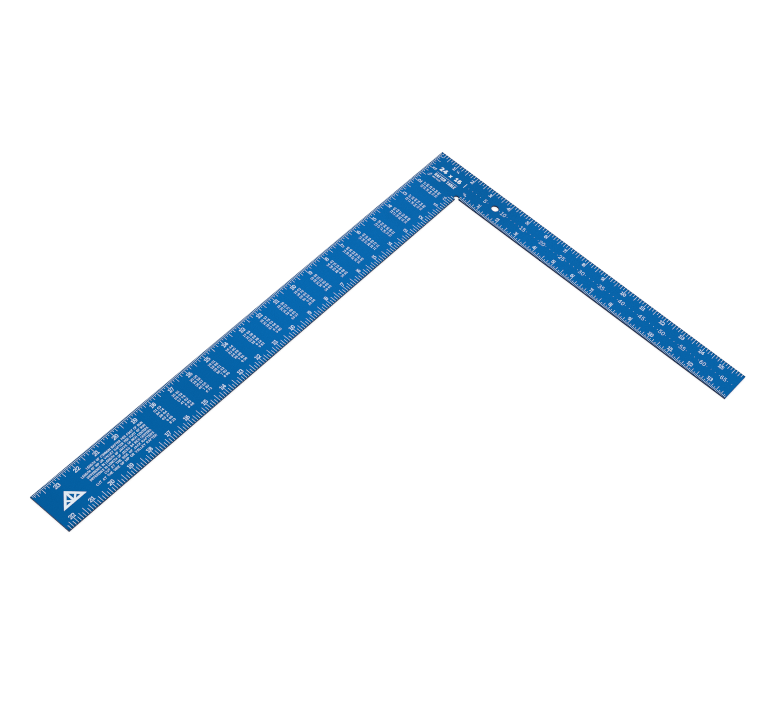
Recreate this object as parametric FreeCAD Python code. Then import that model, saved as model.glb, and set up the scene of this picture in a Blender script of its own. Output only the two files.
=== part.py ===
import FreeCAD, Part
import math
import os

# Carpenter's framing (rafter) square: one flat L-shaped aluminium plate whose face
# carries inch scales, a rafter table and an octagon scale.
#
# Frame: the origin is the outer heel corner on the back face.  The blade (the long,
# wide leg) runs along +X with its outer edge on y = 0, the tongue (the short, narrow
# leg) runs along +Y with its outer edge on x = 0, and the marked face looks up +Z.
# The inner corner is at (TONGUE_W, BLADE_W).
#
# Sizes and places on the face are in inches; those marked mm are in millimetres.

IN = 25.4                    # mm in an inch

# ---- plate and marking layer -------------------------------------------------
BLADE_L = 24.0
BLADE_W = 2.0
TONGUE_L = 16.0
TONGUE_W = 1.5
THICK = 2.4                  # mm
EDGE_BREAK = 0.2             # mm, broken edge round both faces
HOLE_X = TONGUE_W / 2        # hang hole centre
HOLE_Y = 3.50
HOLE_D = 7.94                # mm, 5/16 in
RELIEF_R = 2.6               # mm, round relief cut in the inner corner
MARK_H = 0.05                # mm, thickness of the marking layer

BLADE, TONGUE = 180, 90      # reading directions, degrees: -X on the blade, +Y on the tongue
UP = FreeCAD.Vector(0, 0, 1)


def make_plate():
    corners = [(0, 0), (BLADE_L, 0), (BLADE_L, BLADE_W), (TONGUE_W, BLADE_W),
               (TONGUE_W, TONGUE_L), (0, TONGUE_L)]
    outline = face_of([(x * IN, y * IN) for x, y in corners])
    plate = outline.extrude(UP * THICK)
    for x, y, radius in ((TONGUE_W, BLADE_W, RELIEF_R), (HOLE_X, HOLE_Y, HOLE_D / 2)):
        base = FreeCAD.Vector(x * IN, y * IN, -1)
        plate = plate.cut(Part.makeCylinder(radius, THICK + 2, base, UP))
    plate = plate.removeSplitter()
    rim = []
    for edge in plate.Edges:
        box = edge.BoundBox
        on_face = abs(box.ZMin) < 1e-6 or abs(box.ZMin - THICK) < 1e-6
        if box.ZLength <= 1e-6 and on_face:
            rim.append(edge)
    return plate.makeChamfer(EDGE_BREAK, rim)


# ---- flat shapes and placing -------------------------------------------------
def face_of(points):
    """Flat face on z = 0 with the given outline in mm, always looking up."""
    twice_area = sum(p[0] * q[1] - q[0] * p[1] for p, q in zip(points, points[1:] + points[:1]))
    corners = [FreeCAD.Vector(x, y, 0) for x, y in (points if twice_area > 0 else points[::-1])]
    return Part.Face(Part.makePolygon(corners + [corners[0]]))


def raise_mark(face):
    return face.extrude(UP * MARK_H)


def bar(x0, y0, x1, y1):
    """Rectangular mark between two corners."""
    corner = FreeCAD.Vector(x0 * IN, y0 * IN, THICK)
    return Part.makeBox((x1 - x0) * IN, (y1 - y0) * IN, MARK_H, corner)


def place(solids, x, y, turn=0):
    """Copies of solids drawn at the origin, turned about +Z and put at x, y on the face."""
    placement = FreeCAD.Placement(FreeCAD.Vector(x * IN, y * IN, THICK),
                                  FreeCAD.Rotation(UP, turn))
    out = []
    for solid in solids:
        copy = solid.copy()
        copy.Placement = placement
        out.append(copy)
    return out


def move_along(x, y, turn, along, above=0.0):
    """The point a distance along the reading direction from x, y, and above its baseline."""
    c, s = math.cos(math.radians(turn)), math.sin(math.radians(turn))
    return x + c * along - s * above, y + s * along + c * above


# ---- lettering ---------------------------------------------------------------
FINE, MEDIUM, COARSE = 6, 4, 3     # segments in a quarter turn, by size of lettering
CURVE_POWER = 2.35                 # above 2 squares the curves slightly
SPACE = 0.60                       # width of a space over the normal width
BAR_TRIM = 0.96                    # thinning of diagonal bars
FIT_GAP = 0.20                     # gap over character width in fitted lettering
STEM_1 = 0.58                      # place of the stem of the 1 across its width


def alphabet(segments):
    """Every character's width over the normal width, and its strokes.

    Stroke points run from 0 to 1 across the centre lines of the outermost strokes.
    "line" is an open line, "long" one with its ends run out by half a stroke, "ring" a
    closed loop, "bar" a diagonal with level ends, and "flag" the flag of the 1.
    """
    def arc(cx, cy, rx, ry, start, end):
        """Points of a slightly squared ellipse between two angles in degrees."""
        count = max(2, int(round(segments * abs(end - start) / 90.0)))
        points = []
        for i in range(count + 1):
            angle = math.radians(start + (end - start) * i / count)
            c, s = math.cos(angle), math.sin(angle)
            points.append((cx + rx * math.copysign(abs(c) ** (2.0 / CURVE_POWER), c),
                           cy + ry * math.copysign(abs(s) ** (2.0 / CURVE_POWER), s)))
        return points

    def loop(cx, cy, rx, ry):
        return arc(cx, cy, rx, ry, 0, 360)[:-1]

    left_stem = ("long", [(0, 0), (0, 1)])
    right_stem = ("long", [(1, 0), (1, 1)])
    return {
        "0": (1.0, [("ring", loop(.5, .5, .5, .5))]),
        "1": (0.86, [("long", [(STEM_1, 0), (STEM_1, 1)]), ("flag", []),
                     ("long", [(.12, 0), (1, 0)])]),
        "2": (1.0, [("line", [(.02, .70)] + arc(.5, .70, .48, .30, 168, -20)
                     + [(.84, .45), (.06, .035), (.06, 0)]),
                    ("long", [(.07, 0), (1, 0)])]),
        "3": (1.0, [("line", arc(.46, .755, .46, .245, 160, -90) + [(.30, .51)]),
                    ("line", [(.30, .524)] + arc(.46, .262, .54, .262, 90, -160))]),
        "4": (1.14, [("long", [(.76, 0), (.76, 1)]), ("long", [(0, .22), (1, .22)]),
                     ("bar", [(.70, 1), (-.02, .22)])]),
        "5": (1.0, [("long", [(.92, 1), (.14, 1)]),
                    ("line", [(.16, 1.06), (.10, .50), (.14, .50)]),
                    ("line", [(.10, .52)] + arc(.46, .30, .54, .32, 128, -155) + [(0, .22)])]),
        "6": (1.0, [("ring", loop(.5, .31, .5, .31)),
                    ("line", [(0, .31), (0, .52)] + arc(.52, .52, .52, .48, 168, 52))]),
        "7": (1.0, [("long", [(0, 1), (1, 1)]), ("bar", [(.96, 1), (.30, 0)])]),
        "8": (1.0, [("ring", loop(.5, .755, .43, .245)), ("ring", loop(.5, .262, .5, .262))]),
        "9": (1.0, [("ring", loop(.5, .69, .5, .31)),
                    ("line", [(1, .69), (1, .48)] + arc(.48, .48, .52, .48, -12, -128))]),
        "A": (1.12, [("bar", [(0, 0), (.5, 1)]), ("bar", [(1, 0), (.5, 1)]),
                     ("line", [(.2, .28), (.8, .28)])]),
        "B": (1.0, [left_stem,
                    ("line", [(0, 1), (.45, 1)] + arc(.5, .76, .38, .24, 80, -80)
                     + [(.45, .52), (0, .52)]),
                    ("line", [(.3, .52), (.5, .52)] + arc(.55, .26, .45, .26, 80, -80)
                     + [(.5, 0), (0, 0)])]),
        "C": (1.0, [("line", arc(.5, .5, .5, .5, 42, 318))]),
        "D": (1.0, [left_stem,
                    ("line", [(0, 1), (.4, 1)] + arc(.45, .5, .55, .5, 80, -80)
                     + [(.4, 0), (0, 0)])]),
        "E": (0.9, [("long", [(1, 1), (0, 1), (0, 0), (1, 0)]),
                    ("line", [(0, .52), (.92, .52)])]),
        "F": (0.88, [("long", [(1, 1), (0, 1), (0, 0)]), ("line", [(0, .50), (.92, .50)])]),
        "G": (1.05, [("line", arc(.5, .5, .5, .5, 42, 340)), ("line", [(.52, .44), (1, .44)]),
                     ("long", [(1, .44), (1, .1)])]),
        "H": (1.0, [left_stem, right_stem, ("line", [(0, .5), (1, .5)])]),
        "I": (0.0, [("long", [(.5, 0), (.5, 1)])]),
        "J": (0.85, [("line", [(1, 1.12), (1, .4)] + arc(.5, .36, .5, .36, -10, -170)
                      + [(0, .36)])]),
        "K": (1.05, [left_stem, ("bar", [(0, .36), (.98, 1)]), ("bar", [(.30, .52), (1, 0)])]),
        "L": (0.85, [("long", [(0, 1), (0, 0), (1, 0)])]),
        "M": (1.25, [left_stem, right_stem, ("bar", [(.04, 1), (.5, .12)]),
                     ("bar", [(.96, 1), (.5, .12)])]),
        "N": (1.02, [left_stem, right_stem, ("bar", [(.05, 1), (.95, 0)])]),
        "O": (1.08, [("ring", loop(.5, .5, .5, .5))]),
        "P": (1.0, [left_stem,
                    ("line", [(0, 1), (.45, 1)] + arc(.5, .72, .5, .28, 80, -80)
                     + [(.45, .44), (0, .44)])]),
        "R": (1.03, [left_stem,
                     ("line", [(0, 1), (.45, 1)] + arc(.5, .73, .47, .27, 80, -80)
                      + [(.45, .46), (0, .46)]),
                     ("bar", [(.48, .46), (.96, 0)])]),
        "S": (1.0, [("line", arc(.5, .755, .48, .245, 40, 262)
                     + arc(.5, .255, .5, .255, 82, -142))]),
        "T": (0.95, [("long", [(0, 1), (1, 1)]), ("long", [(.5, 1), (.5, 0)])]),
        "U": (1.0, [("line", [(0, 1.1), (0, .4)] + arc(.5, .36, .5, .36, 190, 350)
                     + [(1, .4), (1, 1.1)])]),
        "V": (1.1, [("bar", [(.02, 1), (.5, 0)]), ("bar", [(.98, 1), (.5, 0)])]),
        "Y": (1.06, [("bar", [(0, 1), (.5, .44)]), ("bar", [(1, 1), (.5, .44)]),
                     ("long", [(.5, .46), (.5, 0)])]),
        "x": (0.9, [("bar", [(0, .62), (1, 0)]), ("bar", [(1, .62), (0, 0)])]),
    }


ALPHABETS = {segments: alphabet(segments) for segments in (FINE, MEDIUM, COARSE)}


def dedupe(points, closed, tolerance):
    """The points without those that all but repeat the one before."""
    out = []
    for point in points:
        if not out or math.dist(point, out[-1]) > tolerance:
            out.append(point)
    if closed and math.dist(out[0], out[-1]) <= tolerance:
        out.pop()
    return out


def offset(points, distance, closed=False):
    """One side of a polyline, a distance to its left, with mitred corners."""
    ends = points[1:] + (points[:1] if closed else [])
    normals = []
    for (x0, y0), (x1, y1) in zip(points, ends):
        length = math.hypot(x1 - x0, y1 - y0)
        normals.append(((y0 - y1) / length, (x1 - x0) / length))
    if closed:
        before = normals[-1:] + normals[:-1]
    else:
        before = normals[:1] + normals
        normals.append(normals[-1])
    out = []
    for (x, y), a, b in zip(points, before, normals):
        mx, my = a[0] + b[0], a[1] + b[1]
        reach = distance * 2.0 / max(mx * mx + my * my, 0.5)   # limits the mitre
        out.append((x + mx * reach, y + my * reach))
    return out


def line_face(points, stroke):
    return face_of(offset(points, stroke / 2) + offset(points, -stroke / 2)[::-1])


def long_face(points, stroke):
    points = list(points)
    for end, neighbour in ((0, 1), (-1, -2)):
        (x, y), (nx, ny) = points[end], points[neighbour]
        grow = stroke / 2 / math.hypot(x - nx, y - ny)
        points[end] = (x + (x - nx) * grow, y + (y - ny) * grow)
    return line_face(points, stroke)


def ring_face(points, stroke):
    outer = face_of(offset(points, -stroke / 2, True))
    return outer.cut(face_of(offset(points, stroke / 2, True))).Faces[0]


def bar_face(points, cell_points, stroke, height):
    """Diagonal bar; an end at the top or bottom of the cell is run out to it."""
    (x0, y0), (x1, y1) = points
    level = {0: 0.0, 1: height}
    y0 = level.get(cell_points[0][1], y0)
    y1 = level.get(cell_points[1][1], y1)
    half = stroke / 2 * math.hypot(1, (x1 - x0) / (y1 - y0)) * BAR_TRIM
    return face_of([(x0 - half, y0), (x0 + half, y0), (x1 + half, y1), (x1 - half, y1)])


def flag_face(width, stroke, height):
    stem = stroke / 2 + STEM_1 * (width - stroke)
    tip = 0.02 * width
    return face_of([(stem + stroke * 0.3, height),
                    (stem - stroke * 0.28, height),
                    (stem - stroke * 0.60, height - stroke * 0.42),
                    (tip, height - stroke * 0.85),
                    (tip, height - stroke * 1.70),
                    (stem - stroke / 2, height - stroke * 1.42),
                    (stem + stroke * 0.3, height - stroke * 1.42)])


class Font:
    """One size of lettering: stroke is over height, gap is between characters."""

    def __init__(self, height, width, stroke, gap, segments):
        self.height = height
        self.width = width
        self.stroke = stroke
        self.gap = gap
        self.alphabet = ALPHABETS[segments]
        self.glyphs = {}             # solids of the characters drawn so far

    def char_width(self, char):
        if char == " ":
            return self.width * SPACE
        if char == "I":
            return self.stroke * self.height
        return self.width * self.alphabet[char][0]

    def text_width(self, words):
        return sum(self.char_width(char) + self.gap for char in words) - self.gap

    def glyph(self, char):
        """Solids of one character, lower left corner of its cell at the origin."""
        if char not in self.glyphs:
            self.glyphs[char] = self.draw(char)
        return self.glyphs[char]

    def draw(self, char):
        height = self.height * IN
        width = self.char_width(char) * IN
        stroke = self.stroke * height
        faces = []
        for kind, cell_points in self.alphabet[char][1]:
            if kind == "flag":
                faces.append(flag_face(width, stroke, height))
                continue
            points = [(stroke / 2 + u * (width - stroke), stroke / 2 + v * (height - stroke))
                      for u, v in cell_points]
            points = dedupe(points, kind == "ring", 0.02 * height)
            if kind == "ring":
                faces.append(ring_face(points, stroke))
            elif kind == "bar":
                faces.append(bar_face(points, cell_points, stroke, height))
            elif kind == "long":
                faces.append(long_face(points, stroke))
            else:
                faces.append(line_face(points, stroke))
        whole = faces[0].multiFuse(faces[1:]) if len(faces) > 1 else faces[0]
        # trim anything outside the cell
        side = 0.02 * height
        cell = face_of([(-side, 0), (width + side, 0), (width + side, height), (-side, height)])
        whole = whole.common(cell).removeSplitter()
        solids = [raise_mark(face) for face in whole.Faces]
        # a face left looking down by the booleans gives an inside-out solid
        return [solid if solid.Volume > 0 else solid.reversed() for solid in solids]


def fitted_font(words, length, height, stroke, segments):
    """The font whose character width makes the words exactly as long as length."""
    def font(width):
        return Font(height, width, stroke, width * FIT_GAP, segments)

    fixed = font(0.0).text_width(words)
    return font((length - fixed) / (font(1.0).text_width(words) - fixed))


def text(words, x, y, turn, font, align="left"):
    """Line of text: its baseline starts (or ends, or is centred) at x, y, read towards turn."""
    total = font.text_width(words)
    along = {"left": 0.0, "right": -total, "centre": -total / 2}[align]
    out = []
    for char in words:
        if char != " ":
            out += place(font.glyph(char), *move_along(x, y, turn, along), turn)
        along += font.char_width(char) + font.gap
    return out


# ---- edge scales -------------------------------------------------------------
EDGE_GAP = 0.010             # a graduation starts this far in from the edge
HEEL_GAP = 0.02              # the first graduations stop this far short of the heel diagonal
LINE_W = 0.0165              # graduation width
CLEAR = 0.012                # gap between an inch line and the numeral beside it
NUMERAL_FONT = Font(height=0.170, width=0.108, stroke=0.146, gap=0.018, segments=FINE)

DIVISIONS = (16, 8, 4, 2, 1)     # inch, half, quarter, eighth and sixteenth, in sixteenths

# name, leg, zero point along the leg, length, place of the edge across the leg,
# sixteenths between graduations, graduation length per division, numeral baseline
SCALES = (
    ("blade_outer", BLADE, 0.0, BLADE_L, 0.0,
     1, (0.435, 0.300, 0.232, 0.165, 0.105), 0.437),
    ("blade_inner", BLADE, TONGUE_W, BLADE_L - TONGUE_W, BLADE_W,
     2, (0.455, 0.345, 0.280, 0.200), 1.715),
    ("tongue_outer", TONGUE, 0.0, TONGUE_L, 0.0,
     2, (0.455, 0.295, 0.230, 0.175), 0.437),
    ("tongue_inner", TONGUE, BLADE_W, TONGUE_L - BLADE_W, TONGUE_W,
     1, (0.440, 0.295, 0.232, 0.165, 0.105), 1.252),
)


def graduations(leg, zero, length, edge, step, sizes):
    out = []
    for i in range(2, int(length * 16), step):     # no scale has room for its first sixteenth
        at = zero + i / 16.0
        size = next(size for every, size in zip(DIVISIONS, sizes) if i % every == 0)
        size = min(size, at - HEEL_GAP)
        near, far = (EDGE_GAP, size) if edge == 0 else (edge - size, edge - EDGE_GAP)
        start, end = at - LINE_W / 2, at + LINE_W / 2
        out.append(bar(start, near, end, far) if leg == BLADE else bar(near, start, far, end))
    return out


def numerals(leg, zero, length, baseline):
    """Inch numerals: pairs stand astride their line, single figures on its heel side."""
    side = LINE_W / 2 + CLEAR
    if leg == BLADE:
        side = -side                               # blade numerals read towards -X
    out = []
    for n in range(1, math.ceil(length)):
        figures = str(n).rjust(2) if leg == BLADE else str(n).ljust(2)
        for figure, align, along in ((figures[0], "right", zero + n - side),
                                     (figures[1], "left", zero + n + side)):
            x, y = (along, baseline) if leg == BLADE else (baseline, along)
            out += text(figure, x, y, leg, NUMERAL_FONT, align)
    return out


# ---- rafter table ------------------------------------------------------------
TABLE_FONT = Font(height=0.091, width=0.072, stroke=0.165, gap=0.014, segments=COARSE)
TABLE_RISES = range(2, 19)   # one column for each rise in inches per foot, at that inch
POINT_GAP = 0.052            # gap in place of the decimal point
TITLE_H = 0.091
TITLE_STROKE = 0.160
TITLE_END_X = 18.82          # where every title ends, as read

# row centre from the outer edge, title, x where the title starts
TABLE_ROWS = (
    (0.589, "LENGTH OF COMMON RAFTER PER FOOT OF RUN", 21.73),
    (0.741, "LENGTH OF HIP OR VALLEY RAFTER PER FOOT OF RUN", 22.13),
    (0.894, "DIFFERENCE IN LENGTH OF JACKS 16 INCH CENTERS", 21.98),
    (1.047, "DIFFERENCE IN LENGTH OF JACKS 24 INCH CENTERS", 21.98),
    (1.198, "CUT AT THE SIDE OF JACK RAFTERS", 21.38),
    (1.350, "CUT AT THE SIDE OF HIP OR VALLEY RAFTER", 21.96),
)


def table_values(rise):
    """The six figures of one column, in the order of the rows."""
    common = math.sqrt(144.0 + rise * rise)
    hip = math.sqrt(288.0 + rise * rise)
    return (common, hip, common * 16.0 / 12.0, common * 2.0,
            144.0 / common, 12.0 * math.sqrt(288.0) / hip)


def table_figures():
    out = []
    for rise in TABLE_RISES:
        for (row, _, _), value in zip(TABLE_ROWS, table_values(rise)):
            whole, part = ("%.2f" % value).split(".")
            y = row + TABLE_FONT.height / 2
            out += text(whole, rise + POINT_GAP / 2, y, BLADE, TABLE_FONT, "right")
            out += text(part, rise - POINT_GAP / 2, y, BLADE, TABLE_FONT)
    return out


def row_titles():
    out = []
    for row, words, start_x in TABLE_ROWS:
        font = fitted_font(words, start_x - TITLE_END_X, TITLE_H, TITLE_STROKE, COARSE)
        out += text(words, TITLE_END_X, row + TITLE_H / 2, BLADE, font, "right")
    return out


# ---- octagon scale -----------------------------------------------------------
OCT_LINE_X = 0.756           # centre line of the scale
OCT_START = 1.863            # place of the starting line
OCT_STEP = 5.0 / 24.0        # pitch of the dots
OCT_DOTS = 67
OCT_FONT = Font(height=0.192, width=0.114, stroke=0.094, gap=0.034, segments=MEDIUM)
OCT_SINGLE_SHIFT = 0.066     # puts a single figure where the second of a pair would be
START_LINE_X = (0.615, 0.870)
START_LINE_W = 0.026
DOT_R = 0.0115
DOT_SIDES = 16
DOT_HOLE_GAP = 0.4           # mm, least gap between a dot and the hang hole


def octagon_dots():
    out = [bar(START_LINE_X[0], OCT_START - START_LINE_W / 2,
               START_LINE_X[1], OCT_START + START_LINE_W / 2)]
    angles = [2 * math.pi * i / DOT_SIDES for i in range(DOT_SIDES)]
    dot = raise_mark(face_of([(DOT_R * IN * math.cos(a), DOT_R * IN * math.sin(a))
                              for a in angles]))
    hole_reach = HOLE_D / 2 + DOT_R * IN + DOT_HOLE_GAP
    for k in range(1, OCT_DOTS + 1):
        y = OCT_START + k * OCT_STEP
        # numerals stand in place of every fifth dot
        if k % 5 != 0 and abs(y - HOLE_Y) * IN >= hole_reach:
            out += place([dot], OCT_LINE_X, y)
    return out


def octagon_numerals():
    out = []
    for k in range(5, OCT_DOTS + 1, 5):
        y = OCT_START + k * OCT_STEP + (OCT_SINGLE_SHIFT if k < 10 else 0.0)
        out += text(str(k), OCT_LINE_X + OCT_FONT.height / 2, y, TONGUE, OCT_FONT, "centre")
    return out


# ---- scale fraction labels ---------------------------------------------------
FRACTION_FONT = Font(height=0.066, width=0.044, stroke=0.20, gap=0.010, segments=COARSE)
SLASH_H = 0.130
SLASH_W = 0.017              # level width of the slanted bar
SLASH_LEAN = 0.049
SLASH_AT = 0.040             # start of the slanted bar from the start of the fraction
BOTTOM_AT = 0.094            # start of the lower number
TOP_BASE = 0.066             # baseline of the upper number above that of the lower

# lower number, centre x, centre y, reading direction
FRACTIONS = (
    ("16", 1.345, 0.400, BLADE),
    ("8", 1.895, 1.675, BLADE),
    ("8", 0.385, 1.185, TONGUE),
    ("16", 1.135, 2.155, TONGUE),
)


def fraction(bottom, x, y, turn):
    """One over bottom, with a slanted bar, centred at x, y."""
    half = (BOTTOM_AT + FRACTION_FONT.text_width(bottom)) / 2

    def at(along, above):
        return move_along(x, y, turn, along - half, above - SLASH_H / 2)

    slash = face_of([(u * IN, v * IN) for u, v in (
        (0.0, 0.0), (SLASH_W, 0.0), (SLASH_LEAN + SLASH_W, SLASH_H), (SLASH_LEAN, SLASH_H))])
    return (text("1", *at(0.0, TOP_BASE), turn, FRACTION_FONT)
            + place([raise_mark(slash)], *at(SLASH_AT, 0.0), turn)
            + text(bottom, *at(BOTTOM_AT, 0.0), turn, FRACTION_FONT))


def fraction_labels():
    return [solid for label in FRACTIONS for solid in fraction(*label)]


# ---- roof-truss pictogram near the blade end ---------------------------------
TRUSS_X = 22.98              # centre
TRUSS_Y = 1.285              # underside of the tie; the ridge points towards -Y
TRUSS_HALF = 0.575           # half span
TRUSS_RISE = 0.60
TRUSS_T = 0.095              # thickness of tie and rafters
POST_HALF_W = 0.045
BRACE_HALF_W = 0.038
BRACE_DROP = 0.02            # brace tops lie this far below the middle of the rafters


def truss_face(points):
    """Face from points measured across and up from the middle of the tie's underside."""
    face = face_of([((TRUSS_X - u) * IN, (TRUSS_Y - v) * IN) for u, v in points])
    face.translate(UP * THICK)
    return face


def blade_emblem():
    slope = TRUSS_RISE / TRUSS_HALF
    # the opening's corners, where the rafters' inner edges meet the tie's top
    inner_half = TRUSS_HALF - TRUSS_T * math.sqrt(1 + slope * slope) / slope - TRUSS_T / slope
    outer = truss_face([(-TRUSS_HALF, 0), (TRUSS_HALF, 0), (0, TRUSS_RISE)])
    opening = truss_face([(-inner_half, TRUSS_T), (inner_half, TRUSS_T),
                          (0, TRUSS_T + slope * inner_half)])
    frame = outer.cut(opening).Faces[0]
    post_top = TRUSS_RISE - TRUSS_T
    members = [truss_face([(-POST_HALF_W, 0), (POST_HALF_W, 0),
                           (POST_HALF_W, post_top), (-POST_HALF_W, post_top)])]
    foot = TRUSS_T / 2
    top = TRUSS_RISE / 2 - BRACE_DROP
    for side in (-1, 1):
        end = side * TRUSS_HALF / 2
        scale = BRACE_HALF_W / math.hypot(end, top - foot)
        nx, ny = -(top - foot) * scale, end * scale
        members.append(truss_face([(nx, foot + ny), (end + nx, top + ny),
                                   (end - nx, top - ny), (-nx, foot - ny)]))
    whole = frame.multiFuse(members).common(outer).removeSplitter()
    return [raise_mark(face) for face in whole.Faces]


# ---- legend in the heel ------------------------------------------------------
LEGEND_Y = 0.530             # start of the size figures
LEGEND_L = 1.110             # overall length
LEGEND_INDENT = 0.030        # indent of the lines below the figures
RULE_X = (1.004, 1.024)      # the dotted rule's two sides
RULE_DASH = 0.026
RULE_PITCH = 0.048
RULE_COUNT = 23

# words, baseline x, start y, length, height, stroke over height, segments
LEGEND_LINES = (
    ("24 x 16", 0.868, LEGEND_Y, LEGEND_L, 0.215, 0.230, FINE),
    ("RAFTER TABLE", 1.245, LEGEND_Y + LEGEND_INDENT, LEGEND_L - LEGEND_INDENT,
     0.155, 0.17, MEDIUM),
    ("INCH SCALES", 1.378, LEGEND_Y + LEGEND_INDENT, 0.42, 0.062, 0.18, COARSE),
)


def heel_legend():
    out = []
    for words, x, y, length, height, stroke, segments in LEGEND_LINES:
        font = fitted_font(words, length, height, stroke, segments)
        out += text(words, x, y, TONGUE, font)
    for i in range(RULE_COUNT):
        y = LEGEND_Y + LEGEND_INDENT + i * RULE_PITCH
        out.append(bar(RULE_X[0], y, RULE_X[1], y + RULE_DASH))
    return out


# ---- write the pieces --------------------------------------------------------
def save(name, shapes):
    solids = [solid for shape in shapes for solid in shape.Solids]
    piece = solids[0] if len(solids) == 1 else Part.makeCompound(solids)
    piece.exportStep("parts/%s.step" % name)


os.makedirs("parts", exist_ok=True)
save("plate", [make_plate()])
for name, leg, zero, length, edge, step, sizes, baseline in SCALES:
    save(name + "_graduations", graduations(leg, zero, length, edge, step, sizes))
    save(name + "_numerals", numerals(leg, zero, length, baseline))
save("rafter_table_figures", table_figures())
save("rafter_table_row_titles", row_titles())
save("octagon_scale_dots", octagon_dots())
save("octagon_scale_numerals", octagon_numerals())
save("scale_fraction_labels", fraction_labels())
save("blade_emblem", blade_emblem())
save("heel_legend", heel_legend())
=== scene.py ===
"""A carpenter's framing square in blue anodised sheet with etched white scales.

The L lies flat with the outer corner of its heel at the origin.  The blade (24 x 2 in) runs along +X
and the tongue (16 x 1.5 in) along +Y.  The front faces +Z and the back lies at z = 0.
"""
import functools
import math

import bmesh
import bpy
from mathutils import Matrix, Vector


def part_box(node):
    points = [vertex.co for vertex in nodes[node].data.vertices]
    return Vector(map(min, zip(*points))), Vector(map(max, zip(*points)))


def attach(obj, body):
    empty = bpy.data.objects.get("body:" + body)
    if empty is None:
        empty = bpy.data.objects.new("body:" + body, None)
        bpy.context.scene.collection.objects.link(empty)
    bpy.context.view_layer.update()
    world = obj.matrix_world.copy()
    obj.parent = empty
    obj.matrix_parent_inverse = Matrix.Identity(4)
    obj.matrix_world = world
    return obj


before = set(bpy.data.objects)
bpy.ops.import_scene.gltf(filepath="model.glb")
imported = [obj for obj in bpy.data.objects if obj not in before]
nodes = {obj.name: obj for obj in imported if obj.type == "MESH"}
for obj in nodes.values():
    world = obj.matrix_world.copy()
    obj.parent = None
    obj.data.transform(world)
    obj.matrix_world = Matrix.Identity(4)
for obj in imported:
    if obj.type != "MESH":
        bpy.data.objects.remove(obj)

scene = bpy.context.scene


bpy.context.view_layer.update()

# ---- dimensions, in metres unless a name says inches ----
IN = 0.0254
LENGTH_INCHES = {"blade": 24, "tongue": 16}
WIDTH_INCHES = {"blade": 2.0, "tongue": 1.5}
BLADE_WIDTH = WIDTH_INCHES["blade"] * IN
TONGUE_WIDTH = WIDTH_INCHES["tongue"] * IN
plate_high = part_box("plate")[1]
BLADE_LENGTH = plate_high.x
TONGUE_LENGTH = plate_high.y

HOLE_X = TONGUE_WIDTH / 2
HOLE_Y = 3.5 * IN
HOLE_RADIUS = 0.00397

MARK_DEPTH = 0.00005             # how far the back marks stand out below z = 0
MARK_HALF_WIDTH = 0.00825 * IN
MARK_CORNER = 0.45 * MARK_HALF_WIDTH
CORNER_STEPS = 3
EDGE_MARGIN = 0.010 * IN         # from the plate's edge to the graduations
DIAGONAL_MARGIN = 0.02 * IN      # from the heel's diagonal to the outer graduations
FIGURE_GAP = 0.020 * IN          # from a figure to its inch line
FIGURE_REACH = 0.15 * IN         # farthest that a front figure's centre is from its line

FLOOR_HALF = 12.0
FLOOR_Z = -0.0001


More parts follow.
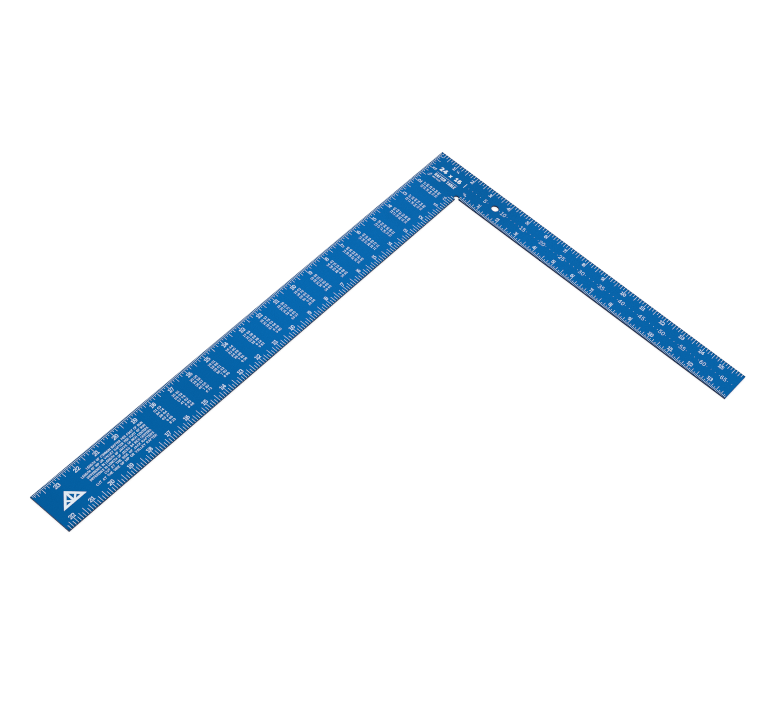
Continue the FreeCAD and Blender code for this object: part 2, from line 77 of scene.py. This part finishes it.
# ---- shader node helpers ----
class Graph:
    """Makes and links the shader nodes of one material or world."""

    # socket numbers of a Mix node that mixes colours
    MIX_A, MIX_B, MIX_RESULT = 6, 7, 2

    def __init__(self, block, output="ShaderNodeOutputMaterial"):
        self.block = block
        block.use_nodes = True
        self.tree = block.node_tree
        self.tree.nodes.clear()
        self.out = self.add(output)
        self.texture_coords = None

    def add(self, kind, inputs=None, **settings):
        """A new node; each of its inputs is given a value or a socket to link from."""
        node = self.tree.nodes.new(kind)
        for name, value in settings.items():
            setattr(node, name, value)
        for key, value in (inputs or {}).items():
            if isinstance(value, bpy.types.NodeSocket):
                self.tree.links.new(value, node.inputs[key])
            else:
                node.inputs[key].default_value = value
        return node

    def calc(self, operation, a, b=None, clamp=False):
        inputs = {0: a} if b is None else {0: a, 1: b}
        return self.add("ShaderNodeMath", inputs, operation=operation, use_clamp=clamp).outputs[0]

    def chain(self, operation, *values):
        """Joins the values one after another, as in ((a * b) * c)."""
        return functools.reduce(lambda a, b: self.calc(operation, a, b), values)

    def distance(self, dx, dy):
        squares = [self.calc("POWER", side, 2.0) for side in (dx, dy)]
        return self.calc("SQRT", self.calc("ADD", *squares))

    def remap(self, value, span, to, smooth=False):
        inputs = {"Value": value, "From Min": span[0], "From Max": span[1],
                  "To Min": to[0], "To Max": to[1]}
        style = "SMOOTHSTEP" if smooth else "LINEAR"
        node = self.add("ShaderNodeMapRange", inputs, interpolation_type=style, clamp=True)
        return node.outputs["Result"]

    def mix(self, factor, a, b, blend="MIX"):
        inputs = {"Factor": factor, self.MIX_A: a, self.MIX_B: b}
        node = self.add("ShaderNodeMix", inputs, data_type="RGBA", blend_type=blend)
        return node.outputs[self.MIX_RESULT]

    def toned(self, colour, tone):
        """The colour multiplied by a grey tone."""
        grey = self.add("ShaderNodeCombineColor", {0: tone, 1: tone, 2: tone})
        return self.mix(1.0, colour, grey.outputs[0], "MULTIPLY")

    def split(self, vector):
        return tuple(self.add("ShaderNodeSeparateXYZ", {0: vector}).outputs)

    def coords(self, scale=(1, 1, 1), turn=0.0, shift=(0, 0, 0)):
        if self.texture_coords is None:
            self.texture_coords = self.add("ShaderNodeTexCoord")
        inputs = {"Vector": self.texture_coords.outputs["Object"], "Scale": scale,
                  "Rotation": (0, 0, turn), "Location": shift}
        return self.add("ShaderNodeMapping", inputs).outputs["Vector"]

    def noise(self, density, detail, rough, distort=0.0, turn=0.0, shift=(0, 0, 0)):
        """Noise with density cells per metre, one number or one for each axis."""
        scale = density if isinstance(density, tuple) else (density,) * 3
        inputs = {"Vector": self.coords(scale, turn, shift), "Scale": 1.0, "Detail": detail,
                  "Roughness": rough, "Distortion": distort}
        return self.add("ShaderNodeTexNoise", inputs).outputs["Fac"]

    def bump(self, height, strength, distance, normal=None):
        inputs = {"Height": height, "Strength": strength, "Distance": distance}
        if normal is not None:
            inputs["Normal"] = normal
        return self.add("ShaderNodeBump", inputs).outputs["Normal"]

    def finish(self, inputs):
        """Ends a material with a Principled surface."""
        surface = self.add("ShaderNodeBsdfPrincipled", inputs)
        self.tree.links.new(surface.outputs["BSDF"], self.out.inputs["Surface"])
        return self.block


# ---- blue anodised sheet ----
def dye_drift(g, x, y):
    """Painted reflection: slow changes of brightness along both legs, and painted shade in a darker
    oval close to the heel.
    """
    blade_middle = g.remap(x, span=(0.28, 0.42), to=(1.0, 0.90), smooth=True)
    blade_tip = g.remap(x, span=(0.570, 0.602), to=(1.0, 0.93), smooth=True)
    tongue_tip = g.remap(y, span=(0.31, 0.39), to=(1.0, 1.04), smooth=True)
    oval_x, oval_y, y_squeeze = 0.018, 0.050, 0.48
    from_oval = g.distance(g.calc("SUBTRACT", x, oval_x),
                           g.calc("MULTIPLY", g.calc("SUBTRACT", y, oval_y), y_squeeze))
    oval = g.remap(from_oval, span=(0.015, 0.050), to=(0.87, 1.0), smooth=True)
    return g.chain("MULTIPLY", blade_middle, blade_tip, tongue_tip, oval)


def rim_shade(g, x, y):
    """Painted shade in a band beside the outline of the L and the hang hole, and a darker tone
    towards the four long edges.
    """
    inner = g.calc("MAXIMUM", g.calc("SUBTRACT", TONGUE_WIDTH, x),
                   g.calc("SUBTRACT", BLADE_WIDTH, y))
    outer = g.calc("MINIMUM", x, y)
    ends = g.calc("MINIMUM", g.calc("SUBTRACT", BLADE_LENGTH, x),
                  g.calc("SUBTRACT", TONGUE_LENGTH, y))
    from_centre = g.distance(g.calc("SUBTRACT", x, HOLE_X), g.calc("SUBTRACT", y, HOLE_Y))
    hole = g.calc("SUBTRACT", from_centre, HOLE_RADIUS)
    rim = g.calc("MINIMUM", g.calc("MINIMUM", inner, outer), g.calc("MINIMUM", ends, hole))

    # noise makes the band's limit wander
    rim_noise = g.noise(density=420, detail=3.0, rough=0.6, shift=(1, 5, 2))
    wander = g.calc("MULTIPLY", g.calc("SUBTRACT", rim_noise, 0.5), 0.0005)
    # painted shade: the sheet is darker within a millimetre of its outline and of the hole
    near_rim = g.remap(g.calc("ADD", rim, wander),
                       span=(0.0, 0.0010), to=(0.88, 1.0), smooth=True)
    # the sheet is darker towards the four long edges, between their dense graduations
    long_edges = g.calc("ADD", g.calc("MINIMUM", inner, outer), wander)
    near_long = g.remap(long_edges, span=(0.0, 0.0045), to=(0.66, 1.0), smooth=True)
    return g.calc("MULTIPLY", near_rim, near_long)


def brushed_grain(g):
    """Streaks about 0.1 mm wide and a few centimetres long, running along X."""
    coarse = g.noise(density=(32, 5200, 60), detail=2.0, rough=0.6)
    fine = g.noise(density=(140, 11000, 60), detail=1.0, rough=0.5, shift=(0.4, 0.9, 0))
    return g.calc("ADD", g.calc("MULTIPLY", coarse, 0.65), g.calc("MULTIPLY", fine, 0.35))


def handling_scratches(g):
    """A few hairlines at an angle to the grain, cut into short lengths."""
    lines = g.noise(density=(9, 620, 30), detail=1.0, rough=0.4, distort=0.3, turn=0.62)
    cut = g.noise(density=22, detail=1.0, rough=0.5, shift=(7, 2, 1))
    return g.calc("MULTIPLY", g.remap(lines, span=(0.775, 0.80), to=(0.0, 1.0)),
                  g.remap(cut, span=(0.52, 0.62), to=(0.0, 1.0)))


def anodised():
    """Satin blue dye over a lengthwise grain; its sheared sides are painted dark navy as painted
    shade.
    """
    dye_blue = (0.0008, 0.1330, 0.4120, 1)
    scratch_blue = (0.10, 0.27, 0.55, 1)
    # painted shade: the sides get a darker navy than the dye
    shaded_side_navy = ((0.0100, 0.018, 0.062, 1), (0.0170, 0.029, 0.096, 1))

    g = Graph(bpy.data.materials.new("anodised_blue_sheet"))
    normal_z = g.split(g.add("ShaderNodeNewGeometry").outputs["True Normal"])[2]
    # 1 on the faces and their broken corners, 0 on the sides
    flat = g.remap(g.calc("ABSOLUTE", normal_z), span=(0.45, 0.65), to=(0.0, 1.0), smooth=True)
    x, y, _ = g.split(g.coords())

    cloud = g.noise(density=5.5, detail=3.0, rough=0.55)
    fine_cloud = g.noise(density=38, detail=4.0, rough=0.6, shift=(3.1, 1.7, 0))
    # painted reflection and shade: lighter and darker along the legs, darker near the heel
    painted_reflection = dye_drift(g, x, y)
    # painted shade beside the outline and the hole, and a darker tone towards the long edges
    rim = rim_shade(g, x, y)
    shade = g.chain("MULTIPLY",
                    g.remap(cloud, span=(0.3, 0.7), to=(0.975, 1.025)),
                    g.remap(fine_cloud, span=(0.3, 0.7), to=(0.985, 1.015)),
                    painted_reflection)
    grain = brushed_grain(g)
    pits = g.noise(density=5200, detail=2.0, rough=0.6)
    streak = g.remap(grain, span=(0.3, 0.7), to=(0.962, 1.038))
    scratch = handling_scratches(g)

    face = g.toned(dye_blue, g.chain("MULTIPLY", shade, streak, rim))
    face = g.mix(g.calc("MULTIPLY", scratch, 0.25), face, scratch_blue)
    edge_grain = g.noise(density=(900, 900, 5200), detail=3.0, rough=0.6)
    edge = g.mix(g.remap(edge_grain, span=(0.35, 0.65), to=(0.0, 1.0)), *shaded_side_navy)
    # the tongue's cut end is coloured almost like the face, without the painted shade of the other
    # sides
    cut_end = g.remap(y, span=(TONGUE_LENGTH - 0.0005, TONGUE_LENGTH - 0.0002), to=(0.0, 0.9))
    colour = g.mix(g.calc("MAXIMUM", flat, cut_end), edge, face)

    rough = g.chain("ADD",
                    g.remap(grain, span=(0.3, 0.7), to=(0.40, 0.50)),
                    g.remap(pits, span=(0.35, 0.65), to=(-0.03, 0.03)),
                    g.remap(fine_cloud, span=(0.4, 0.7), to=(-0.01, 0.03)),
                    g.calc("MULTIPLY", scratch, -0.08))
    side_rough = g.remap(flat, span=(0.0, 1.0), to=(0.10, 0.0))
    rough = g.calc("ADD", rough, side_rough, clamp=True)

    # corners rounded in the shading only
    bevel = g.add("ShaderNodeBevel", {"Radius": 0.00018}, samples=6)
    normal = g.bump(grain, strength=0.24, distance=0.00002, normal=bevel.outputs["Normal"])
    normal = g.bump(pits, strength=0.10, distance=0.00001, normal=normal)
    along_x = g.add("ShaderNodeCombineXYZ", {0: 1.0}).outputs[0]
    return g.finish({
        "Base Color": colour,
        "Metallic": 1.0,
        "Anisotropic": 0.35,
        "Tangent": along_x,
        "Roughness": rough,
        "IOR": 1.6,
        "Normal": normal,
    })


# ---- etched marks and floor ----
def etched(name, base):
    """Matt, almost white marking with the fine raster and speckle of a marking laser."""
    g = Graph(bpy.data.materials.new(name))
    raster = g.add(
        "ShaderNodeTexWave",
        {"Vector": g.coords(), "Scale": 2600.0, "Distortion": 0.6, "Detail": 1.0},
        wave_type="BANDS", bands_direction="DIAGONAL", wave_profile="SIN",
    ).outputs["Fac"]
    speck = g.noise(density=4200, detail=3.0, rough=0.6)
    patch = g.noise(density=60, detail=2.0, rough=0.5)
    tone = g.chain("MULTIPLY",
                   g.remap(speck, span=(0.3, 0.7), to=(0.94, 1.03)),
                   g.remap(patch, span=(0.3, 0.7), to=(0.975, 1.015)),
                   g.remap(raster, span=(0.0, 1.0), to=(0.97, 1.01)))
    normal = g.bump(raster, strength=0.12, distance=0.00001)
    return g.finish({
        "Base Color": g.toned((*base, 1), tone),
        "Metallic": 0.0,
        "Specular IOR Level": 0.25,
        "Roughness": g.remap(speck, span=(0.3, 0.7), to=(0.55, 0.72)),
        "Normal": g.bump(speck, strength=0.20, distance=0.00001, normal=normal),
    })


def floor_material():
    """A lit white sweep, whose own light keeps the shadow beside the sheet faint."""
    greys = ((0.370, 0.371, 0.373, 1), (0.380, 0.381, 0.382, 1))
    g = Graph(bpy.data.materials.new("studio_floor"))
    spots = g.noise(density=3, detail=3.0, rough=0.5)
    return g.finish({
        "Base Color": g.mix(g.remap(spots, span=(0.3, 0.7), to=(0.0, 1.0)), *greys),
        "Roughness": 0.9,
        "Specular IOR Level": 0.1,
        "Emission Color": (1.0, 1.0, 1.0, 1),
        "Emission Strength": 0.70,
    })


def dress(obj, material):
    """Gives every slot of a CAD node this material."""
    if not obj.material_slots:
        obj.data.materials.append(material)
    for slot in obj.material_slots:
        slot.material = material


blue = anodised()
white = etched("etched_white", base=(0.685, 0.830, 0.965))
bold_white = etched("etched_white_bold", base=(0.80, 0.875, 0.945))

finishes = {"plate": blue, "blade_emblem": bold_white, "heel_legend": bold_white}
for name, obj in nodes.items():
    dress(obj, finishes.get(name, white))


# ---- figures, taken from the front ----
def islands(obj):
    """The connected pieces of a mesh, each as (vertices, faces), with doubled vertices joined."""
    bm = bmesh.new()
    bm.from_mesh(obj.data)
    bmesh.ops.remove_doubles(bm, verts=bm.verts, dist=1e-7)
    bm.verts.ensure_lookup_table()
    seen, pieces = set(), []
    for first in bm.verts:
        if first.index in seen:
            continue
        stack, group = [first], []
        seen.add(first.index)
        while stack:
            vert = stack.pop()
            group.append(vert)
            for edge in vert.link_edges:
                other = edge.other_vert(vert)
                if other.index not in seen:
                    seen.add(other.index)
                    stack.append(other)
        number = {vert.index: i for i, vert in enumerate(group)}
        faces = sorted({f for vert in group for f in vert.link_faces}, key=lambda f: f.index)
        pieces.append(([vert.co.copy() for vert in group],
                       [[number[vert.index] for vert in f.verts] for f in faces]))
    bm.free()
    return pieces


def figure_shapes():
    """Figures 0 to 9 of the blade's inner scale, each as (vertices, faces, width).

    Each is moved so that its first axis runs right and its second up from its lower left corner.
    """
    shapes = []
    for verts, faces in islands(nodes["blade_inner_numerals"]):
        low = Vector([min(v[axis] for v in verts) for axis in range(3)])
        high = Vector([max(v[axis] for v in verts) for axis in range(3)])
        shapes.append(((low.x + high.x) / 2, low, high, verts, faces))

    figures = {}
    for inch in range(1, 11):
        line = TONGUE_WIDTH + inch * IN
        # a number's last figure stands on the heel side of its line, at the lower x
        near = [shape for shape in shapes if abs(shape[0] - line) < FIGURE_REACH]
        _, low, high, verts, faces = min(near, key=lambda shape: shape[0])
        moved = [(high.x - v.x, high.y - v.y, v.z - low.z) for v in verts]
        figures[str(inch)[-1]] = (moved, faces, high.x - low.x)
    return figures


FIGURES = figure_shapes()


# ---- the back face's scales ----
class BackMarks:
    """Collects marks on the back of one leg.

    Along runs from the heel down the leg, across from its outer edge.  Seen from below, the
    blade's figures read towards +X and the tongue's towards -Y.
    """

    def __init__(self, leg):
        self.leg = leg
        self.reading = 1.0 if leg == "blade" else -1.0
        self.verts, self.faces = [], []

    def at(self, along, across, z):
        return (along, across, z) if self.leg == "blade" else (across, along, z)

    def bar(self, along, start, end):
        """A graduation from start to end across the leg, with slightly rounded corners."""
        side = MARK_HALF_WIDTH - MARK_CORNER
        low, high = start + MARK_CORNER, end - MARK_CORNER
        ring = []
        for dx, y, first_angle in ((side, high, 0), (-side, high, 90),
                                   (-side, low, 180), (side, low, 270)):
            for k in range(CORNER_STEPS + 1):
                angle = math.radians(first_angle + 90.0 * k / CORNER_STEPS)
                ring.append((along + dx + MARK_CORNER * math.cos(angle),
                             y + MARK_CORNER * math.sin(angle)))
        base, count = len(self.verts), len(ring)
        for z in (0.0, -MARK_DEPTH):
            self.verts += [self.at(x, y, z) for x, y in ring]
        self.faces.append([base + i for i in range(count)])
        self.faces.append([base + count + i for i in reversed(range(count))])
        for i in range(count):
            j = (i + 1) % count
            self.faces.append([base + i, base + count + i, base + count + j, base + j])

    def figure(self, digit, along, foot, side):
        """One figure whose left or right side, as it is read, is at along."""
        shape, faces, width = FIGURES[digit]
        start = -width if side == "right" else 0.0
        base = len(self.verts)
        for u, v, height in shape:
            z = -MARK_DEPTH if height > MARK_DEPTH / 2 else 0.0
            self.verts.append(self.at(along + self.reading * (u + start), foot - v, z))
        self.faces += [[base + i for i in face] for face in faces]

    def number(self, value, along, foot):
        digits = str(value)
        if len(digits) == 1:
            # beside its line, on the heel side
            side = "right" if self.leg == "blade" else "left"
            self.figure(digits, along - FIGURE_GAP, foot, side)
        else:
            # one figure on each side of the line
            gap = self.reading * FIGURE_GAP
            self.figure(digits[0], along - gap, foot, "right")
            self.figure(digits[1], along + gap, foot, "left")

    def make(self, name):
        mesh = bpy.data.meshes.new(name)
        mesh.from_pydata(self.verts, [], self.faces)
        mesh.validate()
        bm = bmesh.new()
        bm.from_mesh(mesh)
        bmesh.ops.recalc_face_normals(bm, faces=bm.faces)
        bm.to_mesh(mesh)
        bm.free()
        mesh.update()
        obj = bpy.data.objects.new(name, mesh)
        scene.collection.objects.link(obj)
        mesh.materials.append(white)
        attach(obj, "root")


# (every so many divisions, graduation length in inches), longest first;
# the first entry's step is the number of divisions in an inch
TWELFTHS = ((12, 0.435), (6, 0.300), (3, 0.225), (1, 0.150))
SIXTEENTHS = ((16, 0.455), (8, 0.300), (4, 0.232), (2, 0.165), (1, 0.110))
TENTHS = ((10, 0.440), (5, 0.300), (1, 0.170))

# leg, edge, graduations, inches from the leg's outer edge to the foot of the figures
BACK_SCALES = (
    ("blade", "outer", TWELFTHS, 0.437),
    ("blade", "inner", SIXTEENTHS, 1.715),
    ("tongue", "outer", TWELFTHS, 0.437),
    ("tongue", "inner", TENTHS, 1.252),
)


def back_scale(leg, edge, graduations, foot):
    # an inner scale starts at the inner corner, the other leg's width from the heel
    other = "tongue" if leg == "blade" else "blade"
    start = WIDTH_INCHES[other] if edge == "inner" else 0
    inches = LENGTH_INCHES[leg] - start
    width = WIDTH_INCHES[leg] * IN
    divisions = graduations[0][0]

    marks = BackMarks(leg)
    # the first graduation is left out
    for i in range(2, int(inches * divisions)):
        along = start * IN + i * IN / divisions
        length = next(size for step, size in graduations if i % step == 0) * IN
        if edge == "outer":
            marks.bar(along, EDGE_MARGIN, min(length, along - DIAGONAL_MARGIN))
        else:
            marks.bar(along, width - length, width - EDGE_MARGIN)
    marks.make(f"back_{leg}_{edge}_graduations")

    marks = BackMarks(leg)
    for inch in range(1, math.ceil(inches)):
        marks.number(inch, (start + inch) * IN, foot * IN)
    marks.make(f"back_{leg}_{edge}_numerals")


for scale in BACK_SCALES:
    back_scale(*scale)


# ---- floor, light and camera ----
def studio_floor():
    mesh = bpy.data.meshes.new("studio_floor")
    corners = [(-1, -1), (1, -1), (1, 1), (-1, 1)]
    mesh.from_pydata([(x * FLOOR_HALF, y * FLOOR_HALF, FLOOR_Z) for x, y in corners],
                     [], [(0, 1, 2, 3)])
    floor = bpy.data.objects.new("studio_floor", mesh)
    scene.collection.objects.link(floor)
    mesh.materials.append(floor_material())


def studio_world():
    """An even white tent, a little dimmer towards the horizon."""
    scene.world = bpy.data.worlds.new("studio_world")
    g = Graph(scene.world, output="ShaderNodeOutputWorld")
    height = g.split(g.add("ShaderNodeTexCoord").outputs["Generated"])[2]
    strength = g.remap(height, span=(0.0, 0.75), to=(0.78, 0.95), smooth=True)
    tent = g.add("ShaderNodeBackground", {"Color": (1.0, 1.0, 1.0, 1), "Strength": strength})
    g.tree.links.new(tent.outputs[0], g.out.inputs[0])


def softbox(name, place, size, watts):
    """A square area light aimed at the middle of the square."""
    target = Vector((0.24, 0.14, 0.0))
    data = bpy.data.lights.new(name, "AREA")
    data.shape = "RECTANGLE"
    data.size = data.size_y = size
    data.energy = watts
    light = bpy.data.objects.new(name, data)
    scene.collection.objects.link(light)
    light.location = place
    light.rotation_euler = (target - Vector(place)).to_track_quat("-Z", "Y").to_euler()


def studio_camera():
    place = (1.251718, 0.668353, 1.598205)
    # the camera's own axes in the scene; it looks against back
    right = (-0.6394255696817668, 0.7551205110595095, 0.144664973695685)
    up = (-0.5739276247331088, -0.5939909414460263, 0.5637214232653176)
    back = (0.5116072931510652, 0.2774306674779999, 0.8131975174195698)
    data = bpy.data.cameras.new("camera")
    data.sensor_fit = "HORIZONTAL"
    data.sensor_width = 36.0
    data.lens = 92.586665
    data.clip_start = 0.05
    data.clip_end = 60.0
    data.shift_x = -0.00058900524
    data.shift_y = 0.00054973822
    camera = bpy.data.objects.new("camera", data)
    scene.collection.objects.link(camera)
    turn = Matrix((right, up, back)).transposed()
    camera.matrix_world = Matrix.Translation(place) @ turn.to_4x4()
    scene.camera = camera


studio_floor()
studio_world()
# opposite the camera, for the sheen on the blade
softbox("sheen_softbox", place=(-1.05, -0.72, 1.90), size=0.9, watts=1.6)
# to the camera's left
softbox("fill_softbox", place=(1.5, -1.3, 2.1), size=1.5, watts=2.5)
studio_camera()

scene.cycles.use_denoising = False
scene.cycles.filter_width = 1.0
scene.view_settings.view_transform = "Standard"
scene.view_settings.look = "None"
scene.view_settings.exposure = 0.0
scene.view_settings.gamma = 1.0
